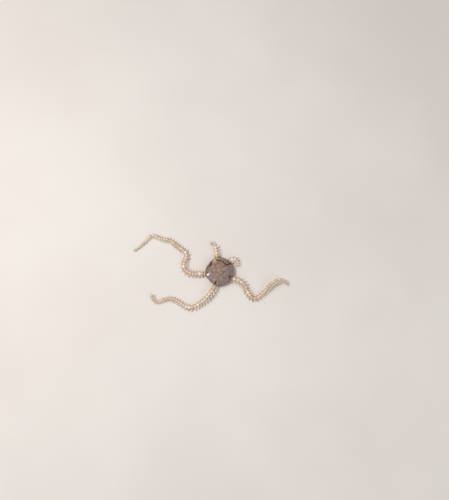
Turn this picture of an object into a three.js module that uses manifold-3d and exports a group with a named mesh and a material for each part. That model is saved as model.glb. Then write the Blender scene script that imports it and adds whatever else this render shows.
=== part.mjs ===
// A small brittle star at life size, lying on a flat surface with its arms in loose waves.
// Millimetres, +Z up. The origin lies on that surface, under the middle of the disc.
// Seen from above, +X is to the right and +Y is towards the two short arms.
import * as THREE from 'three';
import { mergeVertices } from 'three/addons/utils/BufferGeometryUtils.js';
import Module from 'manifold-3d';

const wasm = await Module();
wasm.setup();

const DEGREE = Math.PI / 180;
const GAP = 0.15; // clearance between two nodes that meet face to face
const WELD = 0.001; // corners closer together than this are one
const SLIVER = 0.004; // edges shorter than this are taken up where pieces join
const SUNK = 0.1; // depth that a plate's root goes into the body it grows from

// Driving dimensions of the disc
const DISC_UNDERSIDE = 0.18; // height of the flat underside between the arms
const DISC_EQUATOR = 0.5; // height of the widest line round the side
const DISC_SHOULDER = 0.84; // height where the side turns into the top
const DISC_TOP = 1.06; // height of the middle of the top
const MARGIN_ROUNDING = 0.12; // share of the radius taken up by the rounded side
const DISC_STEPS = 60; // steps round the disc

// Driving dimensions of the disc's plates
const ROSETTE_RADIUS = 0.25; // round plates in the middle of the top
const ROSETTE_CIRCLE = 0.53; // circle that the outer five of them lie on
const PLATE_RISE = 0.035; // how far a plate stands out of the top
const SHIELD_LENGTH = 0.62; // radial shields, a pair beside each cleft
const SHIELD_WIDTH = 0.3;
const SHIELD_REACH = 0.77; // distance of their middles from the disc's middle, share of the margin
const PLATE_VARIATION = 0.08;
const CLEFT_LENGTH = 0.4; // narrow cleft of the top over each arm's root
const CLEFT_WIDTH = 0.32; // its width at the margin
const CLEFT_TIP = 0.05; // how far its inner end is cut off

// Driving dimensions of the underside
const JAW_BOTTOM = 0; // the jaws rest on the surface
const RIDGE_BOTTOM = 0.04; // the arm ridges and the arms' roots lie just above it
const MOUTH_RADIUS = 0.42; // pit of the mouth at the underside
const MOUTH_DEPTH = 0.4; // height that the pit reaches up to
const MOUTH_ROOF = 0.16; // radius of the pit's roof
const JAW_TIP = 0.07; // distance of the jaws' tips from the middle
const JAW_BASE = 0.66; // distance of the jaws' outer ends
const JAW_TIP_WIDTH = 0.1;
const JAW_BASE_WIDTH = 0.42;
const RIDGE_START = 0.5; // arm ridges run from here out to the sockets of the arms
const RIDGE_START_WIDTH = 0.26;
const RIDGE_END_WIDTH = 0.44;
const ORAL_SHIELD_RADIUS = 0.9; // distance of the oral shields' middles
const ORAL_SHIELD_SIZE = 0.2; // half length of these rhomboid plates
const ORAL_SHIELD_BOTTOM = 0.1;

// Driving dimensions of the arms
const ARM_WIDTH = 0.62; // across the plates at an arm's base
const HEIGHT_SHARE = 0.84; // height of an arm as a share of its width
const ROOT_LENGTH = 0.45; // wedge of each arm that lies in a socket under the disc's edge
const ROOT_WIDTH = 0.5; // width of that wedge at the margin
const ROOT_TIP_WIDTH = 0.3; // width of that wedge at its inner end
const ROOT_HEIGHT_SHARE = 0.72; // height of that wedge as a share of its width
const ROOT_OUTSIDE = 0.6; // how far the cuts for a root run past the margin
const SHOULDER_LENGTH = 0.3; // length over which an arm widens outside the margin
const TAPER_EVEN = 0.4; // share of an arm's taper that is even; the rest comes towards its tip
const SECTION_SIDES = 9;
const PITCH_BASE = 0.1; // a segment's length is this and a share of the arm's width there
const PITCH_SHARE = 0.48;
const NECK_SHARE = 0.84; // width of a segment's inner end against its flared outer end
const KEEL = 0.3; // the flanks rise to a keel under the arm spines, by this share of half the width
const TIP_ROUNDING = 0.35; // an arm's rounded end, as a share of its last width

// The five arms. Each leaves the margin at a polar angle and radius of the disc and follows
// arcs of [length, turn in degrees]. Lift gives the height of its underside at a few distances
// from the margin, cuts are where its lengths meet, and parts names the lengths. The disc's side
// from this arm to the next one anticlockwise has a corner radius at both ends and a bulge: 0 is
// straight and 1 is a circle.
const ARMS = [
  {
    name: 'arm_back_right',
    rootAngle: 44,
    rootRadius: 1.7,
    heading: 46,
    corner: 1.72,
    bulge: 0.5,
    arcs: [[0.35, -20], [0.95, -105], [0.25, -15]],
    cuts: [],
    parts: ['stub'],
    baseWidth: 0.58,
    tipWidth: 0.36,
    pitchScale: 0.7,
    lift: [[0, RIDGE_BOTTOM], [0.6, 0.12], [1.5, 0]],
  },
  {
    name: 'arm_back',
    rootAngle: 98,
    rootRadius: 1.6,
    heading: 101,
    corner: 1.68,
    bulge: 0.58,
    arcs: [[0.7, -5], [0.85, 9], [0.3, 20], [0.45, 105]],
    cuts: [1.55],
    parts: ['base', 'regrowing_tip'],
    tipWidth: 0.5,
    budWidth: 0.3,
    lift: [[0, RIDGE_BOTTOM], [0.9, 0], [1.5, 0], [2.25, 0.2]],
  },
  {
    name: 'arm_left',
    rootAngle: 189.5,
    rootRadius: 1.754,
    heading: 183,
    corner: 1.76,
    bulge: 0.35,
    arcs: [[1.55, -8], [2.05, -113], [0.2, -7], [1.15, 89], [1.85, -5], [0.7, 36], [1.45, -25],
      [0.9, 83], [2.35, -21]],
    cuts: [2.6, 4.3, 6.9, 9.4],
    parts: ['base', 'inner', 'middle', 'outer', 'tip'],
    tipWidth: 0.2,
    lift: [[0, RIDGE_BOTTOM], [0.8, 0], [11.2, 0], [12.2, 0.1]],
  },
  {
    name: 'arm_front_left',
    rootAngle: 256.3,
    rootRadius: 1.68,
    heading: -116,
    corner: 1.9,
    bulge: 0.52,
    arcs: [[1.6, -13], [1.95, -24], [1.6, -65], [1.05, 9], [1.75, 63], [1.7, -131]],
    cuts: [2.6, 5.2, 7.8],
    parts: ['base', 'inner', 'outer', 'tip'],
    tipWidth: 0.26,
    lift: [[0, RIDGE_BOTTOM], [1.1, 0.26], [3.2, 0], [8.2, 0], [9.65, 0.5]],
  },
  {
    name: 'arm_front_right',
    rootAngle: 329.2,
    rootRadius: 1.62,
    heading: -20,
    corner: 1.74,
    bulge: 0.85,
    arcs: [[0.6, 4], [1.8, -52], [1, 17], [0.9, 84], [1.75, 21], [1.75, -48], [0.75, -80]],
    cuts: [2, 3.9, 6.4],
    parts: ['base', 'inner', 'outer', 'tip'],
    tipWidth: 0.3,
    lift: [[0, RIDGE_BOTTOM], [1, 0.24], [2.6, 0], [5.2, 0], [7.2, 0.7], [8.55, 0.5]],
  },
];

const discMaterial = new THREE.MeshStandardMaterial({ color: 0x8c7669, roughness: 0.45 });
const armMaterial = new THREE.MeshStandardMaterial({ color: 0xd2b9a0, roughness: 0.5 });

// Repeatable random numbers from 0 to 1.
function randomSource(seed) {
  let state = seed;
  return () => {
    state = (state + 0x6d2b79f5) | 0;
    let t = Math.imul(state ^ (state >>> 15), 1 | state);
    t = (t + Math.imul(t ^ (t >>> 7), 61 | t)) ^ t;
    return ((t ^ (t >>> 14)) >>> 0) / 4294967296;
  };
}

function vary(random, value, share) {
  return value * (1 + share * (2 * random() - 1));
}

function smooth(t) {
  const u = Math.min(1, Math.max(0, t));
  return u * u * (3 - 2 * u);
}

// Closed surface from rings, each of which may shrink to a single point; flat ends are closed.
function loft(rings) {
  const positions = rings.flat().flatMap((p) => [p.x, p.y, p.z]);
  const indices = [];
  let start = 0;
  rings.slice(1).forEach((next, i) => {
    const ring = rings[i];
    const count = Math.max(ring.length, next.length);
    for (let k = 0; k < count; k += 1) {
      const a = start + (k % ring.length);
      const b = start + ((k + 1) % ring.length);
      const c = start + ring.length + (k % next.length);
      const d = start + ring.length + ((k + 1) % next.length);
      if (ring.length > 1) indices.push(a, b, next.length > 1 ? d : c);
      if (next.length > 1) indices.push(a, d, c);
    }
    start += ring.length;
  });
  const last = rings[rings.length - 1];
  for (let k = 1; k < rings[0].length - 1; k += 1) indices.push(0, k + 1, k);
  for (let k = 1; k < last.length - 1; k += 1) indices.push(start, start + k, start + k + 1);
  const geometry = new THREE.BufferGeometry();
  geometry.setAttribute('position', new THREE.Float32BufferAttribute(positions, 3));
  geometry.setIndex(indices);
  return geometry;
}

function toSolid(geometry, weld = 1e-4) {
  const bare = geometry.clone();
  bare.deleteAttribute('normal');
  bare.deleteAttribute('uv');
  const merged = mergeVertices(bare, weld);
  return new wasm.Manifold(new wasm.Mesh({
    numProp: 3,
    vertProperties: new Float32Array(merged.attributes.position.array),
    triVerts: new Uint32Array(merged.index.array),
    tolerance: SLIVER,
  }));
}

function largestSurface(solid) {
  const whole = solid.decompose().reduce((a, b) => (a.volume() > b.volume() ? a : b));
  const mesh = whole.getMesh();
  const geometry = new THREE.BufferGeometry();
  geometry.setAttribute('position', new THREE.BufferAttribute(mesh.vertProperties, 3));
  geometry.setIndex(new THREE.BufferAttribute(mesh.triVerts, 1));
  return geometry;
}

// A node's surface, with corners that lie closer together than the weld made one.
function toGeometry(solid) {
  return largestSurface(toSolid(largestSurface(solid), WELD));
}

// An arm's course: the place and heading of its midline at a distance from the margin.
function coursePoint(arm, distance) {
  let x = arm.rootRadius * Math.cos(arm.rootAngle * DEGREE);
  let y = arm.rootRadius * Math.sin(arm.rootAngle * DEGREE);
  let heading = arm.heading * DEGREE;
  if (distance < 0) {
    return { x: x + distance * Math.cos(heading), y: y + distance * Math.sin(heading), heading };
  }
  let left = distance;
  for (const [length, turn] of arm.arcs) {
    const step = Math.min(left, length);
    const bend = (turn * DEGREE * step) / length;
    const chord = Math.abs(bend) > 1e-9 ? (2 * step * Math.sin(bend / 2)) / bend : step;
    x += chord * Math.cos(heading + bend / 2);
    y += chord * Math.sin(heading + bend / 2);
    heading += bend;
    left -= step;
  }
  return { x: x + left * Math.cos(heading), y: y + left * Math.sin(heading), heading };
}

function armLength(arm) {
  return arm.arcs.reduce((sum, [length]) => sum + length, 0);
}

// Height of the underside, eased from one named height to the next.
function liftAt(arm, distance) {
  const { lift } = arm;
  const next = lift.findIndex(([at]) => distance < at);
  if (next < 0) return lift[lift.length - 1][1];
  if (next === 0) return lift[0][1];
  const [from, low] = lift[next - 1];
  const [to, high] = lift[next];
  return low + (high - low) * smooth((distance - from) / (to - from));
}

// Width across the plates: a wedge inside the notch, shoulders outside it, then a long taper.
// Past the last cut of an arm that is growing anew, its thin new tip.
function widthAt(arm, distance) {
  if (distance < 0) {
    return ROOT_TIP_WIDTH + (ROOT_WIDTH - ROOT_TIP_WIDTH) * (1 + distance / ROOT_LENGTH);
  }
  if (arm.budWidth && distance > arm.cuts[0]) return arm.budWidth;
  const share = distance / armLength(arm);
  const base = arm.baseWidth ?? ARM_WIDTH;
  const taper = base + (arm.tipWidth - base) * (TAPER_EVEN * share + (1 - TAPER_EVEN) * share ** 3);
  return ROOT_WIDTH + (taper - ROOT_WIDTH) * smooth(distance / SHOULDER_LENGTH);
}

function heightAt(arm, distance) {
  const shoulder = smooth(distance / SHOULDER_LENGTH);
  const share = ROOT_HEIGHT_SHARE + (HEIGHT_SHARE - ROOT_HEIGHT_SHARE) * shoulder;
  return widthAt(arm, distance) * share;
}

// Directions at a distance along an arm, with the origin on its underside.
function frameAt(arm, distance) {
  const STEP = 0.02;
  const { x, y, heading } = coursePoint(arm, distance);
  const rise = liftAt(arm, distance + STEP) - liftAt(arm, distance - STEP);
  const pitch = Math.atan2(rise, 2 * STEP);
  const forward = new THREE.Vector3(
    Math.cos(heading) * Math.cos(pitch),
    Math.sin(heading) * Math.cos(pitch),
    Math.sin(pitch),
  );
  const side = new THREE.Vector3(-Math.sin(heading), Math.cos(heading), 0);
  const up = new THREE.Vector3().crossVectors(forward, side);
  return { origin: new THREE.Vector3(x, y, liftAt(arm, distance)), forward, side, up };
}

const LOWEST = Math.sin((90 + Math.floor(SECTION_SIDES / 2) * (360 / SECTION_SIDES)) * DEGREE);

// A point on an arm's outline at an angle round its cross-section; the underside is flat, and the
// widest point of each flank stands out by the share that the keel has there.
function outlinePoint(frame, width, height, angle, keel) {
  const isFlank = Math.abs(Math.sin(angle)) < Math.sin(Math.PI / SECTION_SIDES);
  const across = (width / 2) * Math.cos(angle) * (isFlank ? 1 + keel : 1);
  const rise = (height * (Math.sin(angle) - LOWEST)) / (1 - LOWEST);
  return frame.origin.clone().addScaledVector(frame.side, across).addScaledVector(frame.up, rise);
}

// Cross-section of an arm: a ridge above, a keel on each flank, and a flat underside.
function section(arm, distance, flare = 1) {
  const frame = frameAt(arm, distance);
  const width = widthAt(arm, distance) * flare;
  const height = heightAt(arm, distance) * flare;
  const keel = KEEL * smooth((distance - SHOULDER_LENGTH) / SHOULDER_LENGTH);
  return Array.from({ length: SECTION_SIDES }, (_, k) => (
    outlinePoint(frame, width, height, (90 + (k * 360) / SECTION_SIDES) * DEGREE, keel)
  ));
}

// Distances of the joints between an arm's segments, from its shoulders to its end.
function segmentJoints(arm) {
  const total = armLength(arm);
  const joints = [0];
  let next = SHOULDER_LENGTH;
  while (next < total - PITCH_BASE) {
    joints.push(next);
    next += (PITCH_BASE + PITCH_SHARE * widthAt(arm, next)) * (arm.pitchScale ?? 1);
  }
  joints.push(total);
  return joints;
}

function nearest(values, target) {
  return values.reduce((a, b) => (Math.abs(b - target) < Math.abs(a - target) ? b : a));
}

// One length of an arm: overlapping segments between two cuts.
function armPiece(arm, from, to, isLast) {
  const NECK_AT = 0.12;
  const joints = segmentJoints(arm).filter((s) => s > Math.max(from, 0) && s < to);
  const starts = [Math.max(from, 0), ...joints];
  const rings = from < 0 ? [section(arm, from)] : [];
  starts.forEach((start, i) => {
    const end = i < joints.length ? joints[i] : to;
    const neck = start + (i > 0 ? NECK_AT * (end - start) : 0);
    rings.push(section(arm, neck, start > 0 ? NECK_SHARE : 1));
    rings.push(section(arm, end));
  });
  if (isLast) {
    const { origin, forward, up } = frameAt(arm, to);
    const width = widthAt(arm, to);
    rings.push([origin.clone().addScaledVector(forward, TIP_ROUNDING * width)
      .addScaledVector(up, TIP_ROUNDING * width)]);
  }
  return toGeometry(toSolid(loft(rings)));
}

// Radius of the disc's margin at a polar angle in degrees.
function marginAt(angle) {
  const first = ARMS[0].rootAngle;
  const turned = ((angle - first + 720) % 360) + first;
  const index = ARMS.findLastIndex((arm) => turned >= arm.rootAngle);
  const arm = ARMS[index];
  const end = index + 1 < ARMS.length ? ARMS[index + 1].rootAngle : first + 360;
  const half = ((end - arm.rootAngle) / 2) * DEGREE;
  const fromMiddle = (turned - arm.rootAngle) * DEGREE - half;
  const straight = Math.cos(half) / Math.cos(fromMiddle);
  return arm.corner * (straight + (1 - straight) * arm.bulge);
}

function discRing(share, height) {
  return Array.from({ length: DISC_STEPS }, (_, k) => {
    const angle = (k * 360) / DISC_STEPS;
    const x = share * marginAt(angle) * Math.cos(angle * DEGREE);
    const y = share * marginAt(angle) * Math.sin(angle * DEGREE);
    return new THREE.Vector3(x, y, height);
  });
}

const DISC_INNER = 1 - MARGIN_ROUNDING;

// Height of the disc's top at a share of its radius.
function domeAt(share) {
  const inside = Math.max(0, 1 - (share / DISC_INNER) ** 2);
  return DISC_SHOULDER + (DISC_TOP - DISC_SHOULDER) * inside;
}

// The disc before its notches are cut: flat below, rounded at the side, gently domed above.
function discBlank() {
  const SIDE_STEPS = [-90, -45, 0, 45, 90];
  const DOME_STEPS = [0.66, 0.42, 0.2];
  const rings = [
    [new THREE.Vector3(0, 0, DISC_UNDERSIDE)],
    discRing(DISC_INNER / 2, DISC_UNDERSIDE),
  ];
  for (const angle of SIDE_STEPS) {
    const drop = angle < 0 ? DISC_EQUATOR - DISC_UNDERSIDE : DISC_SHOULDER - DISC_EQUATOR;
    const share = DISC_INNER + MARGIN_ROUNDING * Math.cos(angle * DEGREE);
    rings.push(discRing(share, DISC_EQUATOR + drop * Math.sin(angle * DEGREE)));
  }
  for (const share of DOME_STEPS) rings.push(discRing(share, domeAt(share)));
  rings.push([new THREE.Vector3(0, 0, DISC_TOP)]);
  return loft(rings);
}

// A prism along an arm's root, from a plan of [distance, half width] and between two heights.
function rootPrism(arm, plan, bottom, top) {
  const outline = new THREE.Shape();
  const [[start, startHalf]] = plan;
  outline.moveTo(start, startHalf);
  plan.forEach(([distance, half]) => outline.lineTo(distance, -half));
  [...plan].reverse().slice(0, -1).forEach(([distance, half]) => outline.lineTo(distance, half));
  const { x, y, heading } = coursePoint(arm, 0);
  return new THREE.ExtrudeGeometry(outline, { depth: top - bottom, bevelEnabled: false })
    .rotateZ(heading)
    .translate(x, y, bottom);
}

// The socket that an arm's root lies in, under the disc's edge: its wedge grown by the gap.
function socket(arm) {
  const slope = (ROOT_WIDTH - ROOT_TIP_WIDTH) / (2 * ROOT_LENGTH);
  const ends = [-ROOT_LENGTH - GAP, ROOT_OUTSIDE];
  const plan = ends.map((s) => [s, ROOT_WIDTH / 2 + slope * s + GAP]);
  const top = RIDGE_BOTTOM + ROOT_WIDTH * ROOT_HEIGHT_SHARE + GAP;
  return rootPrism(arm, plan, -DISC_TOP, top);
}

// The narrow cleft above an arm's root, which shows the root from above.
function cleft(arm) {
  const slope = CLEFT_WIDTH / 2 / CLEFT_LENGTH;
  const ends = [CLEFT_TIP - CLEFT_LENGTH, ROOT_OUTSIDE];
  const plan = ends.map((s) => [s, slope * (s + CLEFT_LENGTH)]);
  return rootPrism(arm, plan, RIDGE_BOTTOM, 2 * DISC_TOP);
}

// A thin plate with a bevelled edge, from an outline in its own plane. It stands on the side
// that +Z points to, and its root is sunk below that plane.
function plate(outline, rise) {
  const TOP_SCALE = 0.8;
  const EDGE_SHARE = 0.4;
  const ring = (scale, z) => outline.map(([x, y]) => new THREE.Vector3(x * scale, y * scale, z));
  return loft([ring(1, -SUNK), ring(1, rise * EDGE_SHARE), ring(TOP_SCALE, rise)]);
}

function roundOutline(radius, sides) {
  return Array.from({ length: sides }, (_, k) => {
    const angle = (k * 2 * Math.PI) / sides;
    return [radius * Math.cos(angle), radius * Math.sin(angle)];
  });
}

// Lays a plate on the top of the disc at a polar place, tilted with the dome.
function layOnTop(geometry, angle, radius, turn = 0) {
  const share = radius / marginAt(angle);
  const fall = 2 * (DISC_TOP - DISC_SHOULDER) * share;
  const slope = Math.atan(fall / (DISC_INNER ** 2 * marginAt(angle)));
  return geometry
    .rotateZ(turn * DEGREE)
    .rotateY(slope)
    .rotateZ(angle * DEGREE)
    .translate(
      radius * Math.cos(angle * DEGREE),
      radius * Math.sin(angle * DEGREE),
      domeAt(share),
    );
}

// The round plates in the middle of the top: one central, five round it.
function rosette() {
  const SIDES = 8;
  const random = randomSource(1);
  const outer = ARMS.map((arm) => layOnTop(
    plate(roundOutline(vary(random, ROSETTE_RADIUS, PLATE_VARIATION), SIDES), PLATE_RISE),
    arm.rootAngle,
    ROSETTE_CIRCLE,
  ));
  return [layOnTop(plate(roundOutline(ROSETTE_RADIUS, SIDES), PLATE_RISE), 0, 0), ...outer];
}

// A pair of radial shields beside each cleft: half ovals, straight on the side of the cleft.
function radialShields() {
  const STEPS = 5;
  const BESIDE = 9.5;
  const TURN = 11;
  return ARMS.flatMap((arm) => [-1, 1].map((sideSign) => {
    const outline = Array.from({ length: STEPS + 1 }, (_, k) => {
      const angle = (k * Math.PI) / STEPS;
      return [
        (-SHIELD_LENGTH / 2) * Math.cos(angle),
        sideSign * (SHIELD_WIDTH * Math.sin(angle) - SHIELD_WIDTH / 3),
      ];
    });
    if (sideSign > 0) outline.reverse();
    const angle = arm.rootAngle + sideSign * BESIDE;
    const turn = sideSign * (TURN - BESIDE);
    return layOnTop(plate(outline, PLATE_RISE), angle, SHIELD_REACH * marginAt(angle), turn);
  }));
}

// A wedge or bar on the underside, along a polar direction, with its flat at a height.
function underPlate(direction, from, to, widthFrom, widthTo, bottom) {
  const CHAMFER = 0.05;
  const CHAMFER_INSET = 0.04;
  const top = DISC_UNDERSIDE + SUNK;
  const ring = (inset, z) => [
    [from + inset, -widthFrom / 2 + inset], [to - inset, -widthTo / 2 + inset],
    [to - inset, widthTo / 2 - inset], [from + inset, widthFrom / 2 - inset],
  ].map(([x, y]) => new THREE.Vector3(x, y, z));
  return loft([ring(CHAMFER_INSET, bottom), ring(0, bottom + CHAMFER), ring(0, top)])
    .rotateZ(direction * DEGREE);
}

// Directions midway between neighbouring arms.
function betweenArms() {
  return ARMS.map((arm, i) => {
    const next = i + 1 < ARMS.length ? ARMS[i + 1].rootAngle : ARMS[0].rootAngle + 360;
    return (arm.rootAngle + next) / 2;
  });
}

function jaws() {
  return betweenArms().map((direction) => (
    underPlate(direction, JAW_TIP, JAW_BASE, JAW_TIP_WIDTH, JAW_BASE_WIDTH, JAW_BOTTOM)
  ));
}

function armRidges() {
  return ARMS.map((arm) => {
    const { x, y } = coursePoint(arm, -ROOT_LENGTH);
    const direction = Math.atan2(y, x) / DEGREE;
    const end = Math.hypot(x, y);
    return underPlate(direction, RIDGE_START, end, RIDGE_START_WIDTH, RIDGE_END_WIDTH, RIDGE_BOTTOM);
  });
}

function oralShields() {
  const SIDES = 4;
  return betweenArms().map((direction) => (
    plate(roundOutline(ORAL_SHIELD_SIZE, SIDES), DISC_UNDERSIDE - ORAL_SHIELD_BOTTOM)
      .rotateX(Math.PI)
      .translate(ORAL_SHIELD_RADIUS, 0, DISC_UNDERSIDE)
      .rotateZ(direction * DEGREE)
  ));
}

function mouthPit() {
  const SIDES = 10;
  const ring = (radius, height) => (
    roundOutline(radius, SIDES).map(([x, y]) => new THREE.Vector3(x, y, height))
  );
  return loft([
    ring(MOUTH_RADIUS, 0),
    ring(MOUTH_RADIUS, DISC_UNDERSIDE),
    ring(MOUTH_ROOF, MOUTH_DEPTH),
  ]);
}

function disc() {
  const hollowed = toSolid(discBlank()).subtract(toSolid(mouthPit()));
  const plates = [...jaws(), ...armRidges(), ...oralShields(), ...rosette(), ...radialShields()];
  const covered = plates.reduce((body, piece) => body.add(toSolid(piece)), hollowed);
  const cuts = ARMS.flatMap((arm) => [socket(arm), cleft(arm)]);
  return cuts.reduce((body, cut) => body.subtract(toSolid(cut)), covered);
}

const star = new THREE.Group();
star.name = 'brittle_star';

function addMesh(name, geometry, material) {
  const mesh = new THREE.Mesh(geometry, material);
  mesh.name = name;
  star.add(mesh);
}

addMesh('disc', toGeometry(disc()), discMaterial);
for (const arm of ARMS) {
  const joints = segmentJoints(arm);
  const ends = [-ROOT_LENGTH, ...arm.cuts.map((cut) => nearest(joints, cut)), armLength(arm)];
  arm.parts.forEach((part, i) => {
    const isLast = i === ends.length - 2;
    const from = ends[i] + (i > 0 ? GAP / 2 : 0);
    const to = ends[i + 1] - (isLast ? 0 : GAP / 2);
    addMesh(`${arm.name}_${part}`, armPiece(arm, from, to, isLast), armMaterial);
  });
}

export default star;
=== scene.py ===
"""Looks of a small brittle star: skin, plates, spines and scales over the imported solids."""

import math

import bpy
import numpy as np
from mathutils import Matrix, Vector


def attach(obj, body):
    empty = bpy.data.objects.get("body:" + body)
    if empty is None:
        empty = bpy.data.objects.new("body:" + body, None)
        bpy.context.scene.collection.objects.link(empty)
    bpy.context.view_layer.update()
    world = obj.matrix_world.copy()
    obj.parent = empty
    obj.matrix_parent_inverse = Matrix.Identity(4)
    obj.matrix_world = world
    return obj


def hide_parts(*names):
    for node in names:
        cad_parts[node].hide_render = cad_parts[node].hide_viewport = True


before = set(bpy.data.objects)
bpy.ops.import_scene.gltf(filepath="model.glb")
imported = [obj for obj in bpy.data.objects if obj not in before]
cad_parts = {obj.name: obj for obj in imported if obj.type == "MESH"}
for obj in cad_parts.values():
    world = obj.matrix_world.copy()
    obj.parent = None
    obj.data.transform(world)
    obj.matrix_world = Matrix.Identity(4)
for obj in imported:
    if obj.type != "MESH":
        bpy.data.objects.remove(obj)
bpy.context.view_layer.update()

MM = 0.001  # everything is worked out in millimetres and scaled once, when a mesh is made
BODY = "root"
TAU = 2 * math.pi


# Pose and main sizes: the same named values as the solids have

RIDGE_BOTTOM = 0.04
ARM_WIDTH = 0.62
HEIGHT_SHARE = 0.84
ROOT_LENGTH = 0.45
ROOT_WIDTH = 0.5
ROOT_TIP_WIDTH = 0.3
ROOT_HEIGHT_SHARE = 0.72
SHOULDER_LENGTH = 0.3
PITCH_BASE = 0.1
PITCH_SHARE = 0.48
TAPER_EVEN = 0.4
DISC_UNDERSIDE = 0.18
DISC_EQUATOR = 0.5
DISC_SHOULDER = 0.84
DISC_TOP = 1.06

ARMS = [
    dict(name="arm_back_right", root_angle=44, root_radius=1.7, heading=46, corner=1.72, bulge=0.5,
         arcs=[(0.35, -20), (0.95, -105), (0.25, -15)], base_width=0.58, tip_width=0.36,
         pitch_scale=0.7, lift=[(0, RIDGE_BOTTOM), (0.6, 0.12), (1.5, 0)], parts=["stub"]),
    dict(name="arm_back", root_angle=98, root_radius=1.6, heading=101, corner=1.68, bulge=0.58,
         arcs=[(0.7, -5), (0.85, 9), (0.3, 20), (0.45, 105)], tip_width=0.5, bud_from=1.5,
         bud_width=0.3, lift=[(0, RIDGE_BOTTOM), (0.9, 0), (1.5, 0), (2.25, 0.2)],
         parts=["base", "regrowing_tip"]),
    dict(name="arm_left", root_angle=189.5, root_radius=1.754, heading=183, corner=1.76, bulge=0.35,
         arcs=[(1.55, -8), (2.05, -113), (0.2, -7), (1.15, 89), (1.85, -5), (0.7, 36), (1.45, -25),
               (0.9, 83), (2.35, -21)],
         tip_width=0.2, lift=[(0, RIDGE_BOTTOM), (0.8, 0), (11.2, 0), (12.2, 0.1)],
         parts=["base", "inner", "middle", "outer", "tip"]),
    dict(name="arm_front_left", root_angle=256.3, root_radius=1.68, heading=-116, corner=1.9,
         bulge=0.52,
         arcs=[(1.6, -13), (1.95, -24), (1.6, -65), (1.05, 9), (1.75, 63), (1.7, -131)],
         tip_width=0.26, lift=[(0, RIDGE_BOTTOM), (1.1, 0.26), (3.2, 0), (8.2, 0), (9.65, 0.5)],
         parts=["base", "inner", "outer", "tip"]),
    dict(name="arm_front_right", root_angle=329.2, root_radius=1.62, heading=-20, corner=1.74,
         bulge=0.85,
         arcs=[(0.6, 4), (1.8, -52), (1, 17), (0.9, 84), (1.75, 21), (1.75, -48), (0.75, -80)],
         tip_width=0.3,
         lift=[(0, RIDGE_BOTTOM), (1, 0.24), (2.6, 0), (5.2, 0), (7.2, 0.7), (8.55, 0.5)],
         parts=["base", "inner", "outer", "tip"]),
]


def smooth(t):
    """A smooth step from 0, at 0 and below, to 1, at 1 and above."""
    u = np.clip(t, 0.0, 1.0)
    return u * u * (3 - 2 * u)


def unit(v):
    return v / np.linalg.norm(v, axis=-1, keepdims=True)


def polar(radius, degrees):
    return radius * math.cos(math.radians(degrees)), radius * math.sin(math.radians(degrees))


def turned_by(x, y, degrees):
    """A place turned about the middle."""
    c, d = polar(1, degrees)
    return x * c - y * d, x * d + y * c


def seen_along(x, y, degrees):
    """How far a place lies along a direction, and how far to its left."""
    c, d = polar(1, degrees)
    return x * c + y * d, y * c - x * d


def apart(angle, other):
    """The difference of two angles, from -180 to 180 degrees."""
    return (angle - other + 180) % 360 - 180


def circle(count):
    turn = np.arange(count) * TAU / count
    return np.stack([np.cos(turn), np.sin(turn)], -1)


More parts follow.
